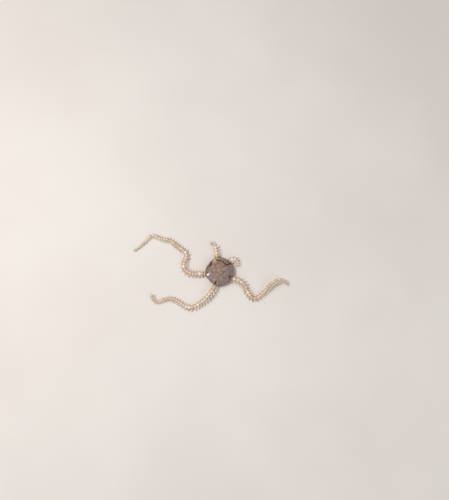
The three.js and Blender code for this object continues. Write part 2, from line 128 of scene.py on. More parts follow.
class Arm:
    """Course, widths and joints of one arm; distances run from the disc's margin outwards."""

    STEP = 0.005
    BEFORE = 1.2  # length of the course inside the disc
    BEYOND = 0.6  # and past the tip
    EVENED_STEPS = 9  # over which the slope is averaged
    BUD_EDGE = 0.12  # over which the width falls to the regrowing tip's
    LEAST_WIDTH = 0.2
    LOWEST = 0.004  # of the skin and the plates, over the arm's underside
    ROOT_JOINTS = [-0.45, -0.22, 0.03]

    def __init__(self, spec):
        self.spec = spec
        self.name = spec["name"]
        self.root_angle = spec["root_angle"]
        lengths, turns = zip((0, 0), *spec["arcs"])
        self.length = sum(lengths)
        self.s = np.arange(-self.BEFORE, self.length + self.BEYOND, self.STEP)
        self.heading = np.interp(self.s, np.cumsum(lengths),
                                 np.radians(spec["heading"] + np.cumsum(turns)))
        middle = (self.heading[1:] + self.heading[:-1]) / 2
        zero = round(self.BEFORE / self.STEP)
        run = np.append(0, np.cumsum(np.exp(1j * middle)) * self.STEP)
        course = run - run[zero] + complex(*polar(spec["root_radius"], self.root_angle))
        self.x, self.y = course.real, course.imag
        self.rise = self._lift(self.s)
        kernel = np.ones(self.EVENED_STEPS) / self.EVENED_STEPS
        slope = np.convolve(np.gradient(self.rise, self.STEP), kernel, mode="same")
        self.pitch = np.arctan(slope)

    def _lift(self, s):
        """Height of the underside, in smooth steps between the places in the arm's lift."""
        places = self.spec["lift"]
        out = np.full_like(s, places[0][1])
        for (a, low), (b, high) in zip(places, places[1:]):
            inside = (s >= a) & (s < b)
            out[inside] = low + (high - low) * smooth((s[inside] - a) / (b - a))
        out[s >= places[-1][0]] = places[-1][1]
        return out

    def width(self, s):
        s = np.asarray(s, float)
        share = np.clip(s / self.length, 0, 1)
        base = self.spec.get("base_width", ARM_WIDTH)
        taper = base + (self.spec["tip_width"] - base) * (
            TAPER_EVEN * share + (1 - TAPER_EVEN) * share ** 3)
        outside = ROOT_WIDTH + (taper - ROOT_WIDTH) * smooth(s / SHOULDER_LENGTH)
        if "bud_width" in self.spec:
            change = smooth((s - self.spec["bud_from"]) / self.BUD_EDGE + 0.5)
            outside = outside + (self.spec["bud_width"] - outside) * change
        inside = ROOT_TIP_WIDTH + (ROOT_WIDTH - ROOT_TIP_WIDTH) * (1 + s / ROOT_LENGTH)
        return np.where(s < 0, np.maximum(inside, self.LEAST_WIDTH), outside)

    def height(self, s):
        growth = (HEIGHT_SHARE - ROOT_HEIGHT_SHARE) * smooth(s / SHOULDER_LENGTH)
        return self.width(s) * (ROOT_HEIGHT_SHARE + growth)

    def frame(self, s):
        """Origin on the underside, and the forward, side and up directions, each (..., 3)."""
        heading, pitch, x, y, rise = (np.interp(s, self.s, table) for table in (
            self.heading, self.pitch, self.x, self.y, self.rise))
        forward = np.stack([np.cos(heading) * np.cos(pitch), np.sin(heading) * np.cos(pitch),
                            np.sin(pitch)], -1)
        side = np.stack([-np.sin(heading), np.cos(heading), np.zeros_like(heading)], -1)
        return np.stack([x, y, rise], -1), forward, side, np.cross(forward, side)

    def surface(self, s, angle, out, scale):
        """Points round the arm at an angle from its side, pushed out by some millimetres."""
        s, angle, out, scale = np.broadcast_arrays(s, angle, out, scale)
        origin, _, side, up = self.frame(s)
        half, high = self.width(s) / 2, self.height(s) / 2
        c, d = np.cos(angle), np.sin(angle)
        n = unit(np.stack([c / half, d / high], -1))
        across = half * scale * c + n[..., 0] * out
        rise = np.maximum(high * (1 + scale * d) + n[..., 1] * out, self.LOWEST)
        return origin + side * across[..., None] + up * rise[..., None]

    def room(self, s, side):
        """Room for spines on one side: from the flank to the middle of the arm's curve."""
        near = 0.05
        ahead, behind = np.interp([s + near, s - near], self.s, self.heading)
        inward = side * (ahead - behind) / (2 * near)
        return 1 / inward - float(self.width(s)) / 2 if inward > 0 else math.inf

    def joints(self):
        """Ends of the segments, from inside the disc to the tip."""
        out = [*self.ROOT_JOINTS, SHOULDER_LENGTH]
        scale = self.spec.get("pitch_scale", 1)
        while out[-1] < self.length - PITCH_BASE:
            out.append(out[-1] + (PITCH_BASE + PITCH_SHARE * float(self.width(out[-1]))) * scale)
        out[-1] = self.length
        return out


arms = [Arm(spec) for spec in ARMS]

UV_MARGIN = 0.04  # round each patch, as a share of its cell of the map


class Build:
    """Gathers patches of faces into one mesh, with a tone and a rim value at each vertex."""

    def __init__(self, name):
        self.name = name
        self.verts, self.faces, self.uvs = [], [], []  # a vertex is x, y, z, tone and rim
        self.count = 0

    def add(self, points, groups, tone, rim):
        """groups: pairs of (n, k) vertex numbers and their (n, k, 2) places in the unit square."""
        for faces, _ in groups:
            self.faces.extend((faces + self.count).tolist())
        self.uvs.append(np.concatenate([flat.reshape(-1, 2) for _, flat in groups]))
        self.verts.append(np.column_stack([points, np.full(len(points), tone), rim]))
        self.count += len(points)

    def map(self):
        """Places on the map, where each patch has a cell of its own."""
        cells = math.ceil(math.sqrt(len(self.uvs)))
        return np.concatenate([
            ((1 - 2 * UV_MARGIN) * flat + UV_MARGIN + [number % cells, number // cells]) / cells
            for number, flat in enumerate(self.uvs)])

    def mesh(self, material, replaced):
        data = bpy.data.meshes.new(self.name)
        verts = np.concatenate(self.verts)
        data.from_pydata(verts[:, :3] * MM, [], self.faces, shade_flat=False)
        uv = data.uv_layers.new(name="OFBake")
        uv.data.foreach_set("uv", self.map().reshape(-1))
        for name, column in (("tone", 3), ("rim", 4)):
            layer = data.attributes.new(name, "FLOAT", "POINT")
            layer.data.foreach_set("value", verts[:, column].copy())
        data.validate()
        data.materials.append(material)
        piece = bpy.data.objects.new(self.name, data)
        bpy.context.scene.collection.objects.link(piece)
        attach(piece, BODY)
        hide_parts(*replaced)


def grid_faces(rows, cols):
    """Quads between rows of points that each close on themselves, and their places in a square."""
    i, j = np.meshgrid(np.arange(rows - 1), np.arange(cols), indexing="ij")
    i, j = i.ravel(), j.ravel()
    k = (j + 1) % cols
    faces = np.stack([i * cols + j, i * cols + k, (i + 1) * cols + k, (i + 1) * cols + j], -1)
    u = np.stack([j, j + 1, j + 1, j], -1) / cols
    v = np.stack([i, i, i + 1, i + 1], -1) / (rows - 1)
    return faces, np.stack([u, v], -1)


def fan_faces(centre, ring, turned):
    """Triangles from a centre vertex to a ring of vertex numbers."""
    nxt = np.roll(ring, -1)
    return np.stack([np.full(len(ring), centre), *((nxt, ring) if turned else (ring, nxt))], -1)


def round_off(points):
    """Cuts the corners of a closed outline, which makes it rounder."""
    p = np.asarray(points, float)
    q = np.roll(p, -1, axis=0)
    return np.stack([0.75 * p + 0.25 * q, 0.25 * p + 0.75 * q], 1).reshape(-1, 2)


def leaf(half):
    """A rounded outline from its right half, from one end of its middle line to the other."""
    half = np.asarray(half, float)
    return round_off(np.concatenate([half, half[-2:0:-1] * [1, -1]]))


def capped_patch(build, rings, end, radii, rims, tone, turned=False):
    """Rings of points, the last one closed with a point, and mapped as rings of some radii."""
    rows, count = rings.shape[:2]
    faces, _ = grid_faces(rows, count)
    if not turned:
        faces = faces[:, ::-1]
    fan = fan_faces(rows * count, (rows - 1) * count + np.arange(count), not turned)
    flat = 0.5 + 0.5 * np.append((radii[:, None, None] * circle(count)).reshape(-1, 2),
                                 [[0, 0]], axis=0)
    build.add(np.append(rings.reshape(-1, 3), [end], axis=0),
              [(faces, flat[faces]), (fan, flat[fan])], tone,
              np.append(np.repeat(rims[:-1], count), rims[-1]))


PLATE_RINGS = np.array([1.0, 0.97, 0.88, 0.7, 0.4, 0.0])  # from the rim to the middle
PLATE_RISES = np.array([-0.5, 0.18, 0.58, 0.84, 0.97, 1.0])


def plate_patch(build, place, outline, rise, tone, turned=False, rises=PLATE_RISES):
    """A domed plate. place(a, b, out) turns plate coordinates and a height into points."""
    centre = outline.mean(axis=0)
    a, b = np.moveaxis(centre + (outline - centre) * PLATE_RINGS[:, None, None], -1, 0)
    points = place(a, b, np.broadcast_to(rises[:, None] * rise, a.shape))
    capped_patch(build, points[:-1], points[-1, 0], PLATE_RINGS[:-1], PLATE_RINGS, tone, turned)


SPINE_STEPS = np.array([-0.35, 0.0, 0.2, 0.42, 0.64, 0.82, 0.94, 1.0])
SPINE_RADII = np.array([0.95, 1.0, 0.95, 0.82, 0.64, 0.44, 0.25, 0.09])
SPINE_MAP_RADII = np.linspace(1, 0.1, len(SPINE_STEPS))
SPINE_SIDES = 8
SPINE_POINT = 0.08  # past the last ring, as a share of the radius
NO_SPINES_WAY = [0.13, 0.21, 0.97]  # a direction that no spine has


def spine_patch(build, root, axis, bend, length, radius, tone):
    """A tapering spine with a slight bend; its root is sunk into what it grows from."""
    across = unit(np.cross(axis, NO_SPINES_WAY))
    section = circle(SPINE_SIDES) @ np.stack([across, np.cross(axis, across)])
    t = SPINE_STEPS[:, None]
    middle = root + axis * (t * length) + bend * (np.maximum(t, 0) ** 2 * length)
    rings = middle[:, None, :] + section * (SPINE_RADII[:, None, None] * radius)
    capped_patch(build, rings, middle[-1] + axis * radius * SPINE_POINT, SPINE_MAP_RADII,
                 np.append(np.clip(SPINE_STEPS, 0, 1), 1.0), tone)


# Arms

rng = np.random.default_rng(11)


def about(value, most):
    """A value, changed at random by something up to most."""
    return value + most * (2 * rng.random() - 1)


def vary(value, share):
    return about(value, value * share)


SKIN_SCALE = 0.93  # the skin lies this far in under the outline that the plates reach
SKIN_AT = np.array([0.0, 0.07, 0.22, 0.42, 0.62, 0.8, 0.93])  # places along a segment
SKIN_FLARE = np.array([0.86, 0.87, 0.91, 0.95, 0.98, 1.0, 0.99])  # and the width there
SKIN_END_FLARE = 0.94
SKIN_CAP = 0.42  # length of the rounded tip, as a share of its width
SKIN_CAP_AT = [0.0, 0.35, 0.65, 0.88, 0.985]
SKIN_SIDES = 28
PLATE_SCALE = 0.97 * SKIN_SCALE
PLATE_RISE = 0.055  # of an arm's plates, as a share of its width
PLATE_PIVOT = 0.3  # the place along a segment about which a plate tilts
DORSAL = leaf([(0.1, 0), (0.2, 0.28), (0.5, 0.72), (0.74, 0.98), (0.93, 0.9), (1.04, 0.5),
               (1.08, 0)])
LATERAL = leaf([(0.1, 0), (0.14, 0.6), (0.4, 0.9), (0.78, 1.0), (1.0, 0.85), (1.05, 0.4),
                (1.06, 0)])
VENTRAL = leaf([(0.12, 0), (0.3, 0.6), (0.45, 0.95), (0.85, 1.0), (0.98, 0.75), (0.98, 0)])
DORSAL_HALF = 0.78  # radians of the section that half a plate spans
LATERAL_HALF = 0.66
VENTRAL_HALF = 0.5
LATERAL_MIDDLE = 0.02  # radians up from the arm's side
TENTACLE_SCALE = 0.16 * circle(8) + [0.74, 0]
TENTACLE_SCALE_MIDDLE = 0.72  # radians from the middle of the underside
# Each row of spines: degrees round the arm, rise of the spine, its lean to the arm's tip and how
# thick it is beside the others
SPINE_ROWS = [(26, 24, 12, 1.0), (2, 6, 32, 1.12), (-24, -6, 54, 1.0)]
LEAN_VARIES, RISE_VARIES = 9, 5  # degrees
SPINE_AT = 0.84  # place along a segment
SPINE_LENGTH = 0.46  # length and radius, as shares of the arm's width
SPINE_RADIUS = 0.078
SPINE_OUT = 0.6  # how far out a spine starts, as a share of a plate's rise
SPINE_ROOM = 0.7  # of the room inside a bend
FIRST_SPINES = 0.7  # the size of those on the first segment outside the disc


def skin_of(arm, build):
    """The flesh of one arm: a tube that swells in each segment and closes at both ends."""
    joints = arm.joints()
    s, k = [], []
    for a, b in zip(joints, joints[1:]):
        s.extend(a + (b - a) * SKIN_AT)
        k.extend(SKIN_SCALE * SKIN_FLARE)
    for t in SKIN_CAP_AT:
        s.append(arm.length + SKIN_CAP * float(arm.width(arm.length)) * t)
        k.append(SKIN_SCALE * SKIN_END_FLARE * math.sqrt(1 - t * t))
    s, k = np.array(s), np.array(k)
    angle = np.arange(SKIN_SIDES) * TAU / SKIN_SIDES
    points = arm.surface(s[:, None], angle, 0.0, k[:, None])
    faces, uv = grid_faces(len(s), SKIN_SIDES)
    groups = [(faces[:, ::-1], uv[:, ::-1])]
    column = np.arange(SKIN_SIDES)
    for end in (0, 1):
        ring = end * (len(s) - 1) * SKIN_SIDES + column
        fan = fan_faces(len(s) * SKIN_SIDES + end, ring, end == 0)
        around = np.stack([column + 0.5, column + 1 - end, column + end], -1) / SKIN_SIDES
        groups.append((fan, np.stack([around, np.full(around.shape, end)], -1)))
    along = np.repeat(np.clip(s / arm.length, 0, 1), SKIN_SIDES)
    build.add(np.concatenate([points.reshape(-1, 3), points[[0, -1]].mean(axis=1)]), groups, 0.5,
              np.append(along, [0, 1]))


def segment_plate(build, arm, ends, outline, tone, middle, half, tilt, rise):
    """A plate round an arm: along a segment from 0 to 1, and half radians to each side."""
    start, end = ends

    def place(a, b, out):
        return arm.surface(start + (end - start) * a, middle + half * b,
                           out + tilt * (a - PLATE_PIVOT), PLATE_SCALE)
    plate_patch(build, place, outline, rise, tone, half < 0)


def upper_plates(arm, ends, rise):
    """The dorsal plate and the two lateral plates of a segment."""
    segment_plate(dorsal_plates, arm, ends, DORSAL, rng.random(), math.pi / 2,
                  vary(DORSAL_HALF, 0.06), 0.5 * rise, rise)
    for side in (1, -1):
        middle = LATERAL_MIDDLE if side > 0 else math.pi - LATERAL_MIDDLE
        segment_plate(lateral_plates, arm, ends, LATERAL, rng.random(), middle,
                      side * LATERAL_HALF, 1.5 * rise, rise)


def lower_plates(arm, ends, rise):
    """The ventral plate of a segment and the scales that cover its two tentacles."""
    segment_plate(ventral_plates, arm, ends, VENTRAL, rng.random(), -math.pi / 2, VENTRAL_HALF,
                  0.3 * rise, 0.6 * rise)
    for side in (1, -1):
        middle = side * TENTACLE_SCALE_MIDDLE - math.pi / 2
        segment_plate(tentacle_scales, arm, ends, TENTACLE_SCALE, rng.random(), middle, 1.0, 0.0,
                      0.5 * rise)


def spines_at(arm, at, rise, grow):
    """Three spines on each side, in a fan that leans to the arm's tip."""
    width = float(arm.width(at))
    _, forward, left, above = (v[0] for v in arm.frame(np.array([at])))
    for degrees, lift, leaning, thick in SPINE_ROWS:
        for side in (1, -1):
            angle = math.radians(degrees if side > 0 else 180 - degrees)
            root = arm.surface(np.array([at]), angle, SPINE_OUT * rise, SKIN_SCALE)[0]
            lean = math.radians(about(leaning, LEAN_VARIES))
            tilt = math.radians(about(lift, RISE_VARIES))
            out = left * (side * math.cos(tilt)) + above * math.sin(tilt)
            axis = out * math.cos(lean) + forward * math.sin(lean)
            length = min(grow * vary(SPINE_LENGTH, 0.14) * width,
                         SPINE_ROOM * arm.room(at, side))
            radius = SPINE_RADIUS * width * thick * vary(1, 0.08)
            bend = forward * about(0.14, 0.04) - above * 0.05
            tip = root + (axis + bend) * length
            low = 0.4 * radius
            if tip[2] < low:
                axis = unit(axis + np.array([0, 0, (low - tip[2]) / length]))
            spine_patch(arm_spines, root, axis, bend, length, radius, rng.random())


def dress_arm(arm):
    """Plates and spines. The first two segments are inside the disc and have no spines."""
    joints = arm.joints()
    for number, ends in enumerate(zip(joints, joints[1:])):
        rise = PLATE_RISE * float(arm.width(sum(ends) / 2))
        upper_plates(arm, ends, rise)
        if number >= 1:
            lower_plates(arm, ends, rise)
        if number >= 2:
            at = ends[0] + SPINE_AT * (ends[1] - ends[0])
            spines_at(arm, at, rise, FIRST_SPINES if number == 2 else 1.0)


arm_skin = Build("arm_skin")
dorsal_plates = Build("dorsal_arm_plates")
lateral_plates = Build("lateral_arm_plates")
ventral_plates = Build("ventral_arm_plates")
arm_spines = Build("arm_spines")
tentacle_scales = Build("tentacle_scales")
for arm in arms:
    skin_of(arm, arm_skin)
    dress_arm(arm)


# Disc

SECTOR_STARTS = np.array([arm.root_angle for arm in arms])
SECTOR_ENDS = np.append(SECTOR_STARTS[1:], SECTOR_STARTS[0] + 360)
SECTOR_CORNERS = np.array([spec["corner"] for spec in ARMS])
SECTOR_BULGES = np.array([spec["bulge"] for spec in ARMS])
DISC_SWELL = 1.02  # the skin and scales lie just outside the solid
DISC_INNER = 0.9  # share of the radius where the top turns into the side
WALL_LENGTH = 0.78  # down the side, from the top's edge to the underside


def margin(angle):
    """Radius of the disc's margin at polar angles in degrees."""
    turned = (np.asarray(angle, float) - SECTOR_STARTS[0]) % 360 + SECTOR_STARTS[0]
    index = np.searchsorted(SECTOR_STARTS, turned, side="right") - 1
    half = np.radians((SECTOR_ENDS - SECTOR_STARTS) / 2)[index]
    away = np.radians(turned - SECTOR_STARTS[index]) - half
    straight = np.cos(half) / np.cos(away)
    bulged = straight + (1 - straight) * SECTOR_BULGES[index]
    return DISC_SWELL * SECTOR_CORNERS[index] * bulged


# Clefts over the arms' roots: depth in from the margin and half width there
CLEFT_DEPTH = [0.3, 0.3, 0.42, 0.5, 0.55]
CLEFT_HALF = [0.17, 0.2, 0.12, 0.15, 0.15]
# Torn grooves of the top, as x, y, half width and depth: one left of the back arm, and one across
# the back of the disc to the short arm
GROOVES = [
    [(-1.02, 1.04, 0.07, 0.2), (-0.95, 0.88, 0.09, 0.28), (-0.93, 0.7, 0.07, 0.2),
     (-1.02, 0.5, 0.05, 0.12)],
    [(-0.22, 1.2, 0.05, 0.1), (0.2, 1.19, 0.06, 0.22), (0.5, 1.0, 0.06, 0.2),
     (0.72, 0.8, 0.07, 0.14), (0.94, 0.66, 0.1, 0.16), (1.12, 0.72, 0.1, 0.34),
     (1.28, 0.9, 0.1, 0.38), (1.46, 0.74, 0.08, 0.3)],
]
# Waves of the top: seed, waves a millimetre and height
WAVES = (5, 2.6, 0.028)


def groove(x, y):
    """How deep the torn grooves are at a place."""
    deep = np.zeros_like(x)
    for line in GROOVES:
        for first, second in zip(line, line[1:]):
            (x1, y1, half, deepest), steps = first, np.subtract(second, first)
            t = ((x - x1) * steps[0] + (y - y1) * steps[1]) / (steps[:2] @ steps[:2])
            t = np.clip(t, 0, 1)
            away = np.hypot(x - x1 - t * steps[0], y - y1 - t * steps[1])
            inside = smooth(1.35 * (1 - away / (1.5 * (half + steps[2] * t))))
            deep = np.maximum(deep, (deepest + steps[3] * t) * inside)
    return deep


def wave(x, y, seed, scale):
    """Smooth irregular waves between about -1 and 1."""
    source = np.random.default_rng(seed)
    out = np.zeros_like(x)
    for _ in range(5):
        turn, phase, stretch = source.random(3)
        k = scale * (0.6 + 0.8 * stretch)
        out += np.sin(k * (x * math.cos(TAU * turn) + y * math.sin(TAU * turn)) + phase * TAU)
    return out / 2.6


def dome(x, y):
    """Height of the disc's top, without its scales."""
    share = np.hypot(x, y) / margin(np.degrees(np.arctan2(y, x)))
    z = DISC_SHOULDER + (DISC_TOP - DISC_SHOULDER) * np.maximum(0, 1 - (share / DISC_INNER) ** 2)
    seed, scale, high = WAVES
    return z + high * wave(x, y, seed, scale) - groove(x, y)


# Under the disc: the mouth's pit, the jaws between the arms and the slits beside the arms
MOUTH_RADIUS = 0.42
MOUTH_DEPTH = 0.4
MOUTH_EDGE = 0.2
SLIT_FROM, SLIT_TO = 0.86, 1.3  # distance from the middle
SLIT_BESIDE = 0.33  # from the middle of the arm
SLIT_HALF = 0.045
SLIT_DEPTH = 0.12


def slit_share(x, y):
    """1 in the middle of the slits beside the arms, and 0 beyond their edges."""
    out = np.zeros_like(x)
    for arm in arms:
        along, across = seen_along(x, y, arm.root_angle)
        over = np.maximum(np.maximum(SLIT_FROM - along, along - SLIT_TO), 0)
        away = np.hypot(over, np.abs(across) - SLIT_BESIDE)
        out = np.maximum(out, smooth(1.3 * (1 - away / (1.4 * SLIT_HALF))))
    return out


def reach_at(angle):
    """Radius of the margin at polar angles in degrees, drawn in at the clefts over the arms."""
    reach = margin(angle)
    for arm, depth, half in zip(arms, CLEFT_DEPTH, CLEFT_HALF):
        away = np.radians(apart(angle, arm.root_angle)) * reach
        reach = reach - depth * smooth(1.25 * (1 - np.abs(away) / (half * 1.25)))
    return reach


def disc_surface(angle, q):
    """Points of the disc at polar angles in degrees and a distance q from the middle of the top,
    over the edge, down the side and back along the underside."""
    angle, q = np.broadcast_arrays(np.asarray(angle, float), np.asarray(q, float))
    reach = reach_at(angle)
    cos, sin = np.cos(np.radians(angle)), np.sin(np.radians(angle))
    edge = DISC_INNER * reach
    on_top = q <= edge
    top_radius = np.where(on_top, q, edge)
    top = dome(top_radius * cos, top_radius * sin)
    t = np.clip((q - edge) / WALL_LENGTH, 0, 1) * math.pi
    share = DISC_INNER + (1 - DISC_INNER) * np.sin(t)
    to_equator = np.where(t < math.pi / 2, top - DISC_EQUATOR, DISC_EQUATOR - DISC_UNDERSIDE)
    back = np.maximum(q - edge - WALL_LENGTH, 0)
    radius = np.where(on_top, q, np.maximum(reach * share - back, 0))
    z = np.where(on_top, top, DISC_EQUATOR + to_equator * np.cos(t))
    hollow = SLIT_DEPTH * slit_share(radius * cos, radius * sin)
    hollow = hollow + MOUTH_DEPTH * smooth((MOUTH_RADIUS - radius) / MOUTH_EDGE)
    z = z + np.where(back > 0, hollow, 0)
    return np.stack([radius * cos, radius * sin, z], -1)


def disc_normal(angle, q):
    small = 0.004
    radius = np.maximum(np.hypot(*np.moveaxis(disc_surface(angle, q), -1, 0)[:2]), 0.05)
    turn = np.degrees(small / radius)
    along = disc_surface(angle, q + small) - disc_surface(angle, q - small)
    across = disc_surface(angle + turn, q) - disc_surface(angle - turn, q)
    return unit(np.cross(along, across) + 1e-12)


NEAR_MIDDLE = 0.3  # inside this radius, plates are laid out on a flat map


def disc_place(angle, q, length, width, turn=0.0, tilt=0.0):
    """Plate coordinates on the disc: a runs outwards and b across, both from -1 to 1."""
    middle = np.hypot(*disc_surface(angle, q)[:2])

    def place(a, b, out):
        along, across = turned_by(a * length, b * width, turn)
        if q < NEAR_MIDDLE:
            x, y = turned_by(q + along, across, angle)
            at, far = np.degrees(np.arctan2(y, x)), np.hypot(x, y)
        else:
            at, far = angle + np.degrees(across / middle), q + along
        return disc_surface(at, far) + disc_normal(at, far) * (out + tilt * a)[..., None]
    return place


DISC_COLUMNS = 360
TOP_ROWS, WALL_ROWS, UNDER_ROWS = 45, 12, 28
UPPER_ROWS = 50  # those in the left half of the map
MAP_RADIUS = 0.48


def disc_body(build):
    """The disc's skin: rings of points from the middle of the top round to the mouth."""
    angle = np.arange(DISC_COLUMNS) * 360 / DISC_COLUMNS
    edge = DISC_INNER * reach_at(angle)
    rings = [edge * t for t in np.linspace(0, 1, TOP_ROWS + 1)[1:]]
    rings += [edge + WALL_LENGTH * t for t in np.linspace(0, 1, WALL_ROWS + 1)[1:]]
    rings += [edge + WALL_LENGTH + edge * t for t in np.linspace(0, 1, UNDER_ROWS + 2)[1:-1]]
    rims = [0.0] * TOP_ROWS + [1.0] * (WALL_ROWS + UNDER_ROWS)
    count = len(rings)
    faces, _ = grid_faces(count, DISC_COLUMNS)
    # the upper side fills the left half of the unit square and the rest the right half
    number = np.arange(count)
    radial = MAP_RADIUS * np.where(number < UPPER_ROWS, (number + 1) / UPPER_ROWS,
                                   (count - number) / (count - UPPER_ROWS + 1))
    row = faces // DISC_COLUMNS
    lower = row[:, :1] >= UPPER_ROWS - 1
    size = np.where(lower & (row == UPPER_ROWS - 1), MAP_RADIUS, radial[row])

    def on_map(vertices, size, middle):
        t = np.radians(angle)[vertices % DISC_COLUMNS]
        return np.stack([middle + size * np.cos(t) / 2, 0.5 + size * np.sin(t)], -1)

    groups = [(faces, on_map(faces, size, 0.25 + 0.5 * lower))]
    for end in (0, 1):
        ring = end * (count - 1) * DISC_COLUMNS + np.arange(DISC_COLUMNS)
        fan = fan_faces(count * DISC_COLUMNS + end, ring, end == 1)
        away = MAP_RADIUS / UPPER_ROWS * np.array([0, 1, 1])
        groups.append((fan, on_map(fan, away, 0.25 + 0.5 * end)))
    ends = [[0, 0, float(dome(np.zeros(1), np.zeros(1))[0])], [0, 0, DISC_UNDERSIDE + MOUTH_DEPTH]]
    points = np.concatenate([disc_surface(angle, q) for q in rings] + [ends])
    build.add(points, groups, 0.5, np.append(np.repeat(rims, DISC_COLUMNS), [0, 1]))


# Under the disc

JAW_ANGLES = (SECTOR_STARTS + SECTOR_ENDS) / 2
COVERED_RADIUS = 0.74  # by the jaws and their shields
JAW = leaf([(0.06, 0), (0.08, 0.055), (0.22, 0.1), (0.42, 0.17), (0.58, 0.21), (0.68, 0.14),
            (0.7, 0)])
ORAL_SHIELD = leaf([(-0.24, 0), (-0.06, 0.19), (0.05, 0.21), (0.2, 0.08), (0.23, 0.04), (0.23, 0)])
ORAL_SHIELD_RADIUS = 0.9
ADORAL = round_off([(-0.15, 0), (-0.09, 0.06), (0.08, 0.065), (0.16, 0.02), (0.1, -0.05),
                    (-0.08, -0.06)])
RIDGE = leaf([(0.46, 0), (0.48, 0.1), (0.7, 0.15), (1.0, 0.19), (1.3, 0.2), (1.36, 0.1),
              (1.36, 0)])
RIDGE_PLATE = leaf([(-0.1, 0), (-0.09, 0.07), (-0.02, 0.12), (0.07, 0.12), (0.1, 0.06), (0.1, 0)])
RIDGE_PLATES = 4
STEEP_RISES = np.array([-2.0, 0.5, 0.84, 0.95, 0.99, 1.0])
# Places: distance from the middle and to the side, height over the floor, rise downwards and
# degrees turned
JAW_PLACE = (0, 0, DISC_UNDERSIDE, 0.176, 0)
ORAL_SHIELD_PLACE = (ORAL_SHIELD_RADIUS, 0, DISC_UNDERSIDE, 0.05, 0)
ADORAL_PLACE = (0.7, 0.14, 0.17, 0.08, 40)
PAPILLAE = [((0.1, 0.045), (0.05, 0.036)), ((0.2, 0.12), (0.055, 0.04)),
            ((0.36, 0.19), (0.1, 0.048))]  # the first two of a place, half length and half width
PAPILLA_PLACE = (0.12, 0.09, 24)  # and the other three
RIDGE_PLACE = (0, 0, DISC_UNDERSIDE, 0.125, 0)
RIDGE_PLATE_PLACE = np.array([0.6, 0, 0.085, 0.04, 0])
RIDGE_PLATE_STEP = np.array([0.205, 0, 0, 0, 0])
RIDGE_SCALE_PLACE = np.array([0.68, 0.11, 0.1, 0.05, 30])
RIDGE_SCALE_STEP = np.array([0.205, 0.02, 0, 0, 0])
RIDGE_SCALE = circle(12) * [0.055, 0.035]


def below_plate(angle, outline, place, side=1, rises=PLATE_RISES):
    """A plate under the disc on one side of an arm or a jaw; its outline is in millimetres."""
    outwards, across, level, rise, turn = place

    def lay(a, b, down):
        x, y = turned_by(a, b, side * turn)
        return np.stack([*turned_by(outwards + x, side * across + y, angle), level - down], -1)
    plate_patch(mouth_frame, lay, outline, rise, rng.random(), True, rises)


def covered_below(x, y):
    """Whether the jaws, the shields or the arms' ridges cover a place under the disc."""
    if math.hypot(x, y) < COVERED_RADIUS or slit_share(np.array([x]), np.array([y]))[0] > 0.05:
        return True
    for arm in arms:
        along, across = seen_along(x, y, arm.root_angle)
        if along > 0 and abs(across) < 0.27:
            return True
    return any(math.dist((x, y), polar(ORAL_SHIELD_RADIUS, angle)) < 0.2 for angle in JAW_ANGLES)


def jaw_parts(angle):
    """A jaw with its oral shield, two adoral shields and six papillae."""
    below_plate(angle, JAW, JAW_PLACE, rises=STEEP_RISES)
    below_plate(angle, ORAL_SHIELD, ORAL_SHIELD_PLACE)
    for side in (1, -1):
        below_plate(angle, (ADORAL * [1, side])[::side], ADORAL_PLACE, side)
        for place, size in PAPILLAE:
            below_plate(angle, circle(12) * size, (*place, *PAPILLA_PLACE), side, STEEP_RISES)


def ridge_parts(angle):
    """The ridge from an arm to the mouth, with its plates and the scales beside them."""
    below_plate(angle, RIDGE, RIDGE_PLACE)
    for number in range(RIDGE_PLATES):
        growth = 0.86 + 0.12 * number
        below_plate(angle, RIDGE_PLATE * growth, RIDGE_PLATE_PLACE + number * RIDGE_PLATE_STEP)
        for side in (1, -1):
            below_plate(angle, RIDGE_SCALE, RIDGE_SCALE_PLACE + number * RIDGE_SCALE_STEP, side)


# Plates and scales of the disc

ROSETTE_RADIUS = 0.25
ROSETTE_CIRCLE = 0.53
ROSETTE_RISE = 0.026
SHIELD_LENGTH = 0.31  # half length and half width of a radial shield
SHIELD_WIDTH = 0.15
SHIELD_OUTLINE = round_off([(-1.0, -0.15), (-0.85, 0.3), (-0.35, 0.85), (0.3, 1.0), (0.8, 0.7),
                            (1.0, 0.1), (0.95, -0.6), (0.6, -0.75), (0.0, -0.72), (-0.6, -0.6)])
# Degrees from the middle of the arm, share of the margin's radius, width and rise
SHIELD = (9.5, 0.77, 1.0, 0.03)
WIDE_SHIELD = (14, 0.82, 1.4, 0.024)  # the one that glints at the left edge
SCALE_START, SCALE_END = 0.3, 3.2  # distances from the middle of the top, round the edge
SCALE_STEP = 0.115  # between rows of scales
SCALE_LENGTH = 0.092  # half length and half width of a scale
SCALE_WIDTH = 0.086
SCALE_PACKING = 0.86  # distance between scales in a row, as a share of their width
SCALE_RISE = 0.018
SCALE_TILT = 0.012
SCALE_OUTLINE = leaf([(-0.9, 0), (-0.7, 0.6), (0.0, 1.0), (0.7, 0.8), (1.0, 0.3), (1.02, 0)])
GROOVE_BARE = 0.07  # depth of a groove from which it has no scales
ARM_GAP = (9.5, 0.12)  # degrees from an arm's middle, and how far down the side scales may go


def rosette(build):
    """The six round plates in the middle of the top; gives their places and radii."""
    plates = [(0.0, 0.0, 0.92 * ROSETTE_RADIUS)]
    for arm in arms:
        plates.append((*polar(ROSETTE_CIRCLE, arm.root_angle), 0.86 * vary(ROSETTE_RADIUS, 0.1)))
    for x, y, size in plates:
        place = disc_place(math.degrees(math.atan2(y, x)), math.hypot(x, y), size, size,
                           tilt=0.004)
        outline = circle(24) * (1 + 0.04 * rng.standard_normal((24, 1)))
        plate_patch(build, place, outline, ROSETTE_RISE, rng.random())
    return plates


